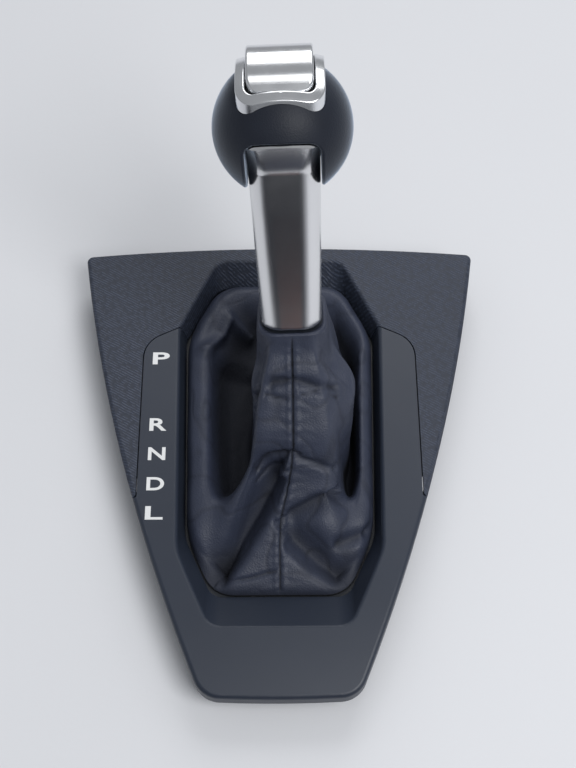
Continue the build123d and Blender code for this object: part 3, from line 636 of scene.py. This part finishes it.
def loop_places(corners, rounding, turns):
    """Places round a closed outline at the given turns, from its rear middle by the right-hand side."""
    right = np.array(corners)
    left = right[::-1] * (-1, 1)
    start = (0, right[0][1])
    ring = np.vstack([start, right, left, start])
    runs = np.linalg.norm(np.diff(ring, axis=0), axis=1)
    reached = np.concatenate([[0], np.cumsum(runs)])
    offsets = np.linspace(-rounding, rounding, rounding_samples)
    places = np.zeros((len(turns), 2))
    for offset in offsets:
        along = (turns * reached[-1] + offset) % reached[-1]
        for axis in (0, 1):
            places[:, axis] += np.interp(along, reached, ring[:, axis]) / len(offsets)
    return places


def section_curve(section, shares):
    """Smooth curve through a section's points, at the given shares of the way along it."""
    knots = np.array(section)
    last = len(knots) - 1
    reached = shares * last
    span = np.clip(reached.astype(int), 0, last - 1)
    part = (reached - span)[:, None]
    before, first, second, after = (knots[np.clip(span + step, 0, last)] for step in (-1, 0, 1, 2))
    leave = (second - before) / 2
    arrive = (after - first) / 2
    change = second - first
    return first + leave * part + (3 * change - 2 * leave - arrive) * part**2 + (
        leave + arrive - 2 * change
    ) * part**3


def gaiter_sheet(columns, rows):
    """Outer face of the gaiter as rows of places in millimetres, before its folds."""
    steps = np.arange(columns) / columns
    turns = steps - seam_crowding * np.sin(2 * np.pi * steps) / (2 * np.pi)
    hem = loop_places(hem_corners, hem_rounding, turns)
    collar = loop_places(collar_corners, collar_rounding, turns)
    top = np.array(collar_top) / MM
    crown = top + collar[:, :1] * np.array(lever_right) + collar[:, 1:] * np.array(lever_front)
    rear = soft_step((rear_blend_y - hem[:, 1]) / rear_blend_length)
    front = soft_step((hem[:, 1] - front_blend_y) / front_blend_length)
    flank = soft_step((hem[:, 1] - flank_blend_y) / flank_blend_length) - front
    shares = np.linspace(0, 1, rows)
    sections = (rear_section, flank_section, front_section, side_section)
    path = sum(
        weight[None, :, None] * section_curve(section, shares)[:, None, :]
        for weight, section in zip((rear, flank, front, 1 - rear - flank - front), sections)
    )
    inward = path[..., :1]
    plan = hem * (1 - inward) + crown[:, :2] * inward
    reach = path[..., 0]
    set_reach, shift, spread = np.array(column_set).T
    spare = plan[..., 0] - top[0] * reach
    fullness = eased(reach, set_reach, spread) - 1
    slack = np.maximum(fullness, 0) * soft_step((bulge_front_y - hem[:, 1]) / bulge_length)
    moved = spare * (np.minimum(fullness, 0) + slack) + eased(reach, set_reach, shift)
    plan[..., 0] += (1 - rear) * moved + rear * eased(reach, *np.array(seam_run).T)
    lean_rise = (crown[:, 2] - top[2]) * reach**2
    height = lip_height + (top[2] - lip_height) * path[..., 1] + lean_rise
    sheet = np.concatenate([plan, height[..., None]], axis=2)
    hem_row = np.column_stack([hem, np.full(columns, lip_height - hem_drop)])
    foot = loop_places(foot_corners, foot_rounding, turns)
    foot_row = top + foot[:, :1] * np.array(lever_right) + foot[:, 1:] * np.array(lever_front)
    return np.concatenate([hem_row[None], sheet, foot_row[None]])


def outward(sheet):
    """Unit normals of a sheet that closes on itself sideways."""
    around = np.roll(sheet, -1, axis=1) - np.roll(sheet, 1, axis=1)
    normals = np.cross(around, np.gradient(sheet, axis=0))
    return normals / np.linalg.norm(normals, axis=2, keepdims=True)


def route_on(sheet, route):
    """Places on a sheet above a route drawn in plan."""
    flat = sheet.reshape(-1, 3)
    places = []
    for point in route:
        gap = np.linalg.norm(flat[:, :2] - point, axis=1)
        near = flat[gap < gap.min() + route_reach]
        places.append(near[near[:, 2].argmax()])
    return places


def nearness(sheet, places, left_width, right_width):
    """How near a sheet's places are to a line: 1 on it, falling to 0 past its width on either side."""
    gap = np.full(sheet.shape[:2], np.inf)
    width = np.full(sheet.shape[:2], left_width)
    for start, end in zip(places, places[1:]):
        run = end - start
        spare = sheet - start
        share = np.clip(spare @ run / (run @ run), 0, 1)
        reach = np.linalg.norm(spare - share[..., None] * run, axis=2)
        leftward = run[0] * spare[..., 1] - run[1] * spare[..., 0]
        nearer = reach < gap
        width = np.where(nearer, np.where(leftward > 0, left_width, right_width), width)
        gap = np.minimum(gap, reach)
    return np.exp(-((gap / width) ** 2))


def cloudy(sheet, size):
    """Smooth noise about a sheet's places, from -1 to 1, whose patches are about size across."""
    return np.array([[noise.noise(Vector(place) / size) for place in row] for row in sheet])


def fold_leather(sheet):
    """Puts folds, seam and wrinkles into the plain sheet; gives it with its painted shade and darker seam,
    from 0 to 1.
    """
    shares = np.linspace(0, 1, len(sheet))[:, None]
    hold = soft_step(shares / fold_hold_hem) * soft_step((1 - shares) / fold_hold_collar)
    lift = np.zeros(sheet.shape[:2])
    dark = np.zeros(sheet.shape[:2])
    for height, left_width, right_width, route in folds:
        places = route_on(sheet, route)
        lift += height * nearness(sheet, places, left_width, right_width)
        # Painted shade along the valley of each sunken fold
        if height < 0:
            near = nearness(sheet, places, fold_shade_width * left_width, fold_shade_width * right_width)
            dark = np.maximum(dark, fold_shade * near)
    lift += ripple_rise * cloudy(sheet, ripple_size)
    folded = sheet + outward(sheet) * (hold * lift)[..., None]
    seam = folded[:, :1]
    gap = np.linalg.norm(folded - seam, axis=2)
    runs = np.linalg.norm(np.diff(seam[:, 0], axis=0), axis=1)
    along = np.concatenate([[0], np.cumsum(runs)])[:, None]
    groove = np.exp(-((gap / seam_width) ** 2))
    lips = np.exp(-((gap / lip_offset - 1) ** 2) * lip_sharpness)
    sway = cloudy(folded, pucker_pitch)
    wave = np.sin(2 * np.pi * along / pucker_pitch + pucker_sway * sway)
    puckers = wave * np.exp(-gap / pucker_reach) * (1 - groove)
    wrinkles = np.exp(-((cloudy(folded, wrinkle_size) / wrinkle_line) ** 2))
    fine = lip_rise * lips + pucker_rise * puckers - seam_depth * groove - wrinkle_depth * wrinkles
    # The seam groove is darker, and painted shade goes into the wrinkles
    dark = np.clip(np.maximum(dark, groove) + wrinkle_shade * wrinkles, 0, 1) * hold
    # Painted shade in the valleys, deeper the lower the leather lies
    valley = soft_step((valley_top - folded[..., 2]) / valley_depth)
    dark = np.maximum(dark, valley_shade * valley)
    # Full painted shade on the rows at the hem, under the recess's lip
    dark[:hem_rows] = 1
    return folded + outward(folded) * (hold * fine)[..., None], dark


def wind_spring(finish):
    """Closed copy of the spring's coils."""
    spring = bpy.data.objects.new("return_spring", frame["nodes"]["button_spring"].data.copy())
    bpy.context.collection.objects.link(spring)
    clear_selection()
    spring.select_set(True)
    bpy.context.view_layer.objects.active = spring
    bpy.ops.object.mode_set(mode="EDIT")
    bpy.ops.mesh.select_all(action="SELECT")
    bpy.ops.mesh.remove_doubles(threshold=coil_merge)
    bpy.ops.object.mode_set(mode="OBJECT")
    spring.data.materials.clear()
    spring.data.materials.append(finish.material)
    return spring


def sew_gaiter(shape, finish):
    """Leather gaiter as one sheet from the hem under the recess's lip up to the collar."""
    clear_selection()
    columns = shape.around
    sheet, dark = fold_leather(gaiter_sheet(columns, shape.along))
    rows = len(sheet)
    bpy.ops.mesh.primitive_grid_add(x_subdivisions=columns, y_subdivisions=rows - 1)
    gaiter = bpy.context.object
    gaiter.name = "leather_gaiter"
    gaiter.data.name = "leather_gaiter"
    mesh = gaiter.data
    closed = np.concatenate([sheet, sheet[:, :1]], axis=1)
    mesh.vertices.foreach_set("co", (closed * MM).ravel())
    # The painted shade and the darker seam are kept on the mesh for the leather's colour
    seam_and_shade_layer = mesh.attributes.new("seam_and_painted_shade", "FLOAT", "POINT")
    seam_and_shade_layer.data.foreach_set("value", np.concatenate([dark, dark[:, :1]], axis=1).ravel())
    bpy.ops.object.mode_set(mode="EDIT")
    bpy.ops.mesh.select_all(action="SELECT")
    bpy.ops.mesh.remove_doubles(threshold=seam_merge)
    bpy.ops.mesh.normals_make_consistent(inside=False)
    bpy.ops.object.mode_set(mode="OBJECT")
    wall = gaiter.modifiers.new("leather", "SOLIDIFY")
    wall.thickness = shape.leather
    wall.offset = -1
    apply_all(gaiter)
    bpy.ops.object.shade_smooth()
    mesh.materials.append(finish.material)
    return gaiter


# Gear letters, from front to rear, and the y of each middle in millimetres
gear_letters = (("P", 48.6), ("R", 13.9), ("N", -0.8), ("D", -15.6), ("L", -29.6))
letter_middle_x = -55.7

# Letters before they are scaled: thickness, how much bolder they are drawn, and the steps of a curve
letter_extrude = 0.5
letter_weight = 0.022
letter_curve_steps = 8


def print_letters(shape, finish):
    """White gear letters on the left arm, one mesh."""
    clear_selection()
    made = []
    for text, middle in gear_letters:
        bpy.ops.object.text_add()
        letter = bpy.context.object
        letter.data.body = text
        letter.data.extrude = letter_extrude
        letter.data.offset = letter_weight
        letter.data.resolution_u = letter_curve_steps
        bpy.ops.object.convert(target="MESH")
        corners = [vertex.co for vertex in letter.data.vertices]
        low = Vector([min(corner[axis] for corner in corners) for axis in range(3)])
        high = Vector([max(corner[axis] for corner in corners) for axis in range(3)])
        size = high - low
        scale = Matrix.Diagonal((shape.width / size.x, shape.height / size.y, shape.relief / size.z, 1))
        place = Vector((letter_middle_x * MM, middle * MM, panel_top))
        middle_low = Vector(((low.x + high.x) / 2, (low.y + high.y) / 2, low.z))
        letter.data.transform(Matrix.Translation(place) @ scale @ Matrix.Translation(-middle_low))
        letter.data.materials.append(finish.material)
        made.append(letter)
    for letter in made:
        letter.select_set(True)
    bpy.context.view_layer.objects.active = made[0]
    bpy.ops.object.join()
    letters = bpy.context.object
    letters.name = "gear_letters"
    letters.data.name = "gear_letters"
    return letters


class GEARTRIM_OT_finish_panel(bpy.types.Operator):
    """Give the panel, the bezel and the pieces below them their finishes"""

    bl_idname = "gear_trim.finish_panel"
    bl_label = "Finish panel"

    def execute(self, context):
        settings = context.scene.trim_finish
        dress(ribbed_panel(settings), "upper_panel")
        dress(smooth_bezel(settings), "lower_bezel")
        dress(
            inner_plastic(settings),
            "gaiter_frame", "gaiter_collar", "lever_core", "button_housing", "button_carrier",
        )
        return {"FINISHED"}


class GEARTRIM_OT_finish_lever(bpy.types.Operator):
    """Give the sleeve, the ball and the push button their finishes"""

    bl_idname = "gear_trim.finish_lever"
    bl_label = "Finish lever"

    def execute(self, context):
        settings = context.scene.trim_finish
        dress(satin_sleeve(settings), "stem_sleeve")
        dress(grip_skin(settings), "knob_grip")
        dress(bright_plate(settings), "button_frame", "button_cap")
        return {"FINISHED"}


class GEARTRIM_OT_finish_fasteners(bpy.types.Operator):
    """Give the screws, clips and rod their finishes"""

    bl_idname = "gear_trim.finish_fasteners"
    bl_label = "Finish fasteners"

    def execute(self, context):
        settings = context.scene.trim_finish
        dress(
            steel(settings, "fastener_steel", fastener_dullness),
            "panel_screws", "frame_screws", "core_screws", "console_clips", "push_rod",
        )
        return {"FINISHED"}


class GEARTRIM_OT_wind_spring(bpy.types.Operator):
    """Set the return spring under the button, on the lever"""

    bl_idname = "gear_trim.wind_spring"
    bl_label = "Wind spring"

    def execute(self, context):
        spring = wind_spring(steel(context.scene.trim_finish, "spring_steel", spring_dullness))
        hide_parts("button_spring")
        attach(spring, "lever")
        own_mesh(spring)
        return {"FINISHED"}


class GEARTRIM_OT_sew_gaiter(bpy.types.Operator):
    """Sew the leather gaiter and hang it between the recess and the lever"""

    bl_idname = "gear_trim.sew_gaiter"
    bl_label = "Sew gaiter"

    def execute(self, context):
        gaiter = sew_gaiter(context.scene.gaiter_shape, leather(context.scene.trim_finish))
        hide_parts("gaiter")
        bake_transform(gaiter)
        return {"FINISHED"}


class GEARTRIM_OT_print_letters(bpy.types.Operator):
    """Print the gear letters on the left arm"""

    bl_idname = "gear_trim.print_letters"
    bl_label = "Print letters"

    def execute(self, context):
        letters = print_letters(context.scene.letter_shape, letter_print(context.scene.trim_finish))
        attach(letters, "trim")
        return {"FINISHED"}


# Camera, floor and lamps, in metres
camera_place = Vector((0.004, -0.2386, 0.5424))
camera_aim = Vector((0.004, 0.0345, 0.026))
sensor_height_mm = 36
floor_size = 6.0
floor_gap = 0.05 * MM
sky_colour = (0.93, 0.96, 1.0, 1)
key_place = Vector((0.5, -0.5, 1.15))
key_size = 0.6
front_place = Vector((0.15, 0.95, 1.0))
front_size = 0.8
top_place = Vector((0.0, -0.12, 0.95))
top_size = 0.2

# Dark card behind the part, in metres: its size, the width that is dark all over, and its warm streak
flag_place = Vector((-0.05, -0.18, 0.08))
flag_width = 0.5
flag_height = 0.16
flag_edge = 0.18
flag_warm_x = 0.012
flag_warm_width = 0.016
flag_warm_height = 0.09


def lay_floor(settings):
    """Plain pale floor under the clips."""
    clear_selection()
    bpy.ops.mesh.primitive_plane_add(size=floor_size, location=(0, 0, -floor_gap))
    floor = bpy.context.object
    floor.name = "floor"
    finish = Finish("floor_paper", Roughness=0.9, Specular_IOR_Level=0.2)
    cloud = finish.noise(60 * MM)
    finish.colour(finish.drift(cloud, settings.floor_colour, darkest=0.985, palest=1.0))
    finish.relief(finish.noise(3 * MM), depth=0.05 * MM)
    floor.data.materials.append(finish.material)


def light_sky(settings):
    """Even pale light from all round."""
    world = bpy.data.worlds.new("studio")
    bpy.context.scene.world = world
    world.use_nodes = True
    sky = world.node_tree.nodes["Background"]
    sky.inputs["Color"].default_value = sky_colour
    sky.inputs["Strength"].default_value = settings.sky_strength


def aim_camera(settings):
    """Camera at the photograph's angle."""
    data = bpy.data.cameras.new("camera")
    data.sensor_fit = "VERTICAL"
    data.sensor_height = sensor_height_mm
    data.lens = settings.lens
    camera = bpy.data.objects.new("camera", data)
    bpy.context.scene.collection.objects.link(camera)
    turn = (camera_aim - camera_place).to_track_quat("-Z", "Y").to_matrix().to_4x4()
    roll = Matrix.Rotation(settings.roll, 4, "Z")
    camera.matrix_world = Matrix.Translation(camera_place) @ turn @ roll
    bpy.context.scene.camera = camera


def hang_lamp(name, place, size, power):
    """Square soft lamp that looks at the part."""
    data = bpy.data.lights.new(name, "AREA")
    data.shape = "SQUARE"
    data.size = size
    data.energy = power
    lamp = bpy.data.objects.new(name, data)
    bpy.context.scene.collection.objects.link(lamp)
    turn = (-place).to_track_quat("-Z", "Y").to_matrix().to_4x4()
    lamp.matrix_world = Matrix.Translation(place) @ turn


def stand_flag(settings):
    """Dark card behind the part, seen only in its reflections, with a warm streak."""
    clear_selection()
    bpy.ops.mesh.primitive_plane_add(size=1)
    flag = bpy.context.object
    flag.name = "flag"
    upright = Matrix.Rotation(math.radians(90), 4, "X")
    size = Matrix.Diagonal((flag_width, flag_height, 1, 1))
    flag.data.transform(Matrix.Translation(flag_place) @ upright @ size)
    finish = Finish("flag_card", Roughness=1.0, Specular_IOR_Level=0.0)
    across = finish.maths("ABSOLUTE", finish.split(finish.place(), "X") - flag_warm_x)
    above = finish.fade(finish.split(finish.place(), "Z"), low=0.0, high=flag_warm_height)
    warmth = (1 - finish.fade(across, low=0.0, high=flag_warm_width)) * (1 - above)
    card = finish.mix(warmth, settings.flag_colour, settings.flag_warm)
    side = finish.maths("ABSOLUTE", finish.split(finish.place(), "X") - flag_place.x)
    edge = finish.fade(side, low=flag_edge / 2, high=flag_width / 2)
    finish.colour(finish.mix(edge, card, settings.floor_colour))
    flag.data.materials.append(finish.material)
    flag.visible_camera = False
    flag.visible_diffuse = False
    flag.visible_shadow = False


class GEARTRIM_OT_set_stage(bpy.types.Operator):
    """Lay the floor, light it and aim the camera"""

    bl_idname = "gear_trim.set_stage"
    bl_label = "Set stage"

    def execute(self, context):
        settings = context.scene.studio_setup
        lay_floor(settings)
        light_sky(settings)
        hang_lamp("key", key_place, key_size, settings.key_power)
        hang_lamp("front", front_place, front_size, settings.front_power)
        hang_lamp("top", top_place, top_size, settings.top_power)
        stand_flag(settings)
        aim_camera(settings)
        context.scene.view_settings.view_transform = "Standard"
        return {"FINISHED"}


property_groups = (
    ("trim_finish", TrimFinish),
    ("gaiter_shape", GaiterShape),
    ("letter_shape", LetterShape),
    ("studio_setup", StudioSetup),
)
operators = (
    GEARTRIM_OT_set_stage,
    GEARTRIM_OT_finish_panel,
    GEARTRIM_OT_finish_lever,
    GEARTRIM_OT_finish_fasteners,
    GEARTRIM_OT_wind_spring,
    GEARTRIM_OT_sew_gaiter,
    GEARTRIM_OT_print_letters,
)


class GEARTRIM_PT_sidebar(bpy.types.Panel):
    """Sizes, colours and steps of the gear lever trim"""

    bl_idname = "GEARTRIM_PT_sidebar"
    bl_label = "Gear lever trim"
    bl_space_type = "VIEW_3D"
    bl_region_type = "UI"
    bl_category = "Gear trim"

    def draw(self, context):
        for name, group in property_groups:
            box = self.layout.box()
            for size in group.__annotations__:
                box.prop(getattr(context.scene, name), size)
        for operator in operators:
            self.layout.operator(operator.bl_idname)


def register():
    for name, group in property_groups:
        bpy.utils.register_class(group)
        setattr(bpy.types.Scene, name, PointerProperty(type=group))
    for operator in operators:
        bpy.utils.register_class(operator)
    bpy.utils.register_class(GEARTRIM_PT_sidebar)


def unregister():
    bpy.utils.unregister_class(GEARTRIM_PT_sidebar)
    for operator in reversed(operators):
        bpy.utils.unregister_class(operator)
    for name, group in reversed(property_groups):
        delattr(bpy.types.Scene, name)
        bpy.utils.unregister_class(group)


def main():
    register()
    bpy.ops.gear_trim.set_stage()
    bpy.ops.gear_trim.finish_panel()
    bpy.ops.gear_trim.finish_lever()
    bpy.ops.gear_trim.finish_fasteners()
    bpy.ops.gear_trim.wind_spring()
    bpy.ops.gear_trim.sew_gaiter()
    bpy.ops.gear_trim.print_letters()


if __name__ == "__main__":
    main()
